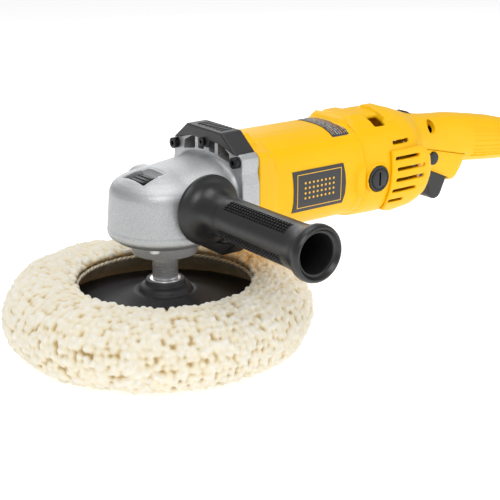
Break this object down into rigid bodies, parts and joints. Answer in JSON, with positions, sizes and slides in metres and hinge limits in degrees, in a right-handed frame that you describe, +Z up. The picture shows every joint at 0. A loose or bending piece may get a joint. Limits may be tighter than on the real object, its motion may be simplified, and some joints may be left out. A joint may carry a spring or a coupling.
{
  "type": "rotary polisher",
  "caption": "Right-angle electric rotary polisher with bevel gear head, side handle, rear trigger handle, and a wool bonnet tied over a rubber backing pad.",
  "frame": {"origin": "where the spindle's axis meets the bonnet's flat polishing face, which is the surface the tool stands on", "axes": "+Z up along the spindle into the gear head; +X from the spindle along the motor to the rear handle; -Y towards the side handle"},
  "size_m": [0.523, 0.2914, 0.1638],
  "materials": {
    "cast_alloy": "matte",
    "guard_plastic": "satin",
    "black_fastener": "satin",
    "plated_fastener": "satin",
    "yellow_housing": "satin",
    "black_plastic": "satin",
    "printed_label": "gloss",
    "handle_rubber": "satin",
    "black_rubber": "matte",
    "bearing_steel": "polished",
    "spring_steel": "satin",
    "machined_steel": "polished",
    "lamination_steel": "matte",
    "copper": "satin",
    "brush_brass": "satin",
    "carbon": "matte",
    "pad_rubber": "satin",
    "wool": "matte",
    "sheepskin": "matte",
    "drawcord": "matte"
  },
  "bodies": {
    "housing": {"gear_case": "cast_alloy", "spindle_cover": "cast_alloy", "spindle_cover_screws": "plated_fastener", "upper_guard": "guard_plastic", "lower_guard": "guard_plastic", "guard_screws": "black_fastener", "gear_case_screws": "black_fastener", "motor_housing": "yellow_housing", "rear_housing": "yellow_housing", "trigger_housing": "yellow_housing", "trigger_housing_screws": "plated_fastener", "handle_screws": "plated_fastener", "right_vent_shield": "yellow_housing", "left_vent_shield": "yellow_housing", "right_brush_cap": "black_plastic", "left_brush_cap": "black_plastic", "right_brush_holder": "brush_brass", "left_brush_holder": "brush_brass", "right_carbon_brush": "carbon", "left_carbon_brush": "carbon", "brush_springs": "spring_steel", "side_badges": "printed_label", "top_label": "printed_label", "side_handle_grip": "handle_rubber", "side_handle_stud": "plated_fastener", "lower_spindle_bearing": "bearing_steel", "upper_spindle_bearing": "bearing_steel", "spindle_lock_spring": "spring_steel", "front_armature_bearing": "bearing_steel", "rear_armature_bearing": "bearing_steel", "rear_bearing_boot": "black_rubber", "field_core": "lamination_steel", "upper_field_coil": "copper", "lower_field_coil": "copper", "fan_baffle": "black_plastic", "switch_body": "black_plastic", "speed_module": "black_plastic", "cord_clamp": "black_plastic", "cord_clamp_screws": "plated_fastener", "cord_inlet_bush": "black_rubber", "trigger_pin": "plated_fastener"},
    "spindle_group": {"spindle": "machined_steel", "ring_gear": "machined_steel", "ring_gear_clip": "spring_steel", "backing_pad": "pad_rubber", "pad_hub": "machined_steel", "wool_bonnet": "wool", "bonnet_skin": "sheepskin", "bonnet_drawcord": "drawcord"},
    "armature": {"armature_shaft": "machined_steel", "armature_core": "lamination_steel", "armature_windings": "copper", "commutator": "copper", "cooling_fan": "black_plastic", "pinion_gear": "machined_steel"},
    "trigger": {"trigger": "black_plastic"},
    "lock_on_button": {"lock_on_button": "black_plastic"},
    "spindle_lock": {"spindle_lock_button": "black_plastic", "spindle_lock_pin": "machined_steel"},
    "speed_dial": {"speed_dial": "black_plastic"}
  },
  "joints": [
    {"name": "spindle_spin", "type": "hinge", "parent": "housing", "child": "spindle_group", "pos_m": [0, 0, 0.08], "axis": [0, 0, 1], "continuous": true},
    {"name": "armature_spin", "type": "hinge", "parent": "housing", "child": "armature", "pos_m": [0.11, 0, 0.116], "axis": [1, 0, 0], "continuous": true},
    {"name": "trigger_pull", "type": "hinge", "parent": "housing", "child": "trigger", "pos_m": [0.262, 0, 0.1015], "axis": [0, -1, 0], "range_deg": [0, 8], "stiffness_Nm_per_rad": 1.6, "springref_deg": -14.32},
    {"name": "lock_on_press", "type": "slide", "parent": "housing", "child": "lock_on_button", "axis": [0, 1, 0], "range_m": [0, 0.0035], "stiffness_N_per_m": 400, "springref_m": -0.004},
    {"name": "spindle_lock_press", "type": "slide", "parent": "housing", "child": "spindle_lock", "axis": [0, 0, -1], "range_m": [0, 0.005], "stiffness_N_per_m": 600, "springref_m": -0.004, "deforming": ["spindle_lock_spring"]},
    {"name": "speed_dial_turn", "type": "hinge", "parent": "housing", "child": "speed_dial", "pos_m": [0.238, 0, 0.1396], "axis": [0, 1, 0], "range_deg": [0, 270]}
  ],
  "couplings": [
    {"joint": "armature_spin", "follows": "spindle_spin", "ratio": 4.4444}
  ]
}
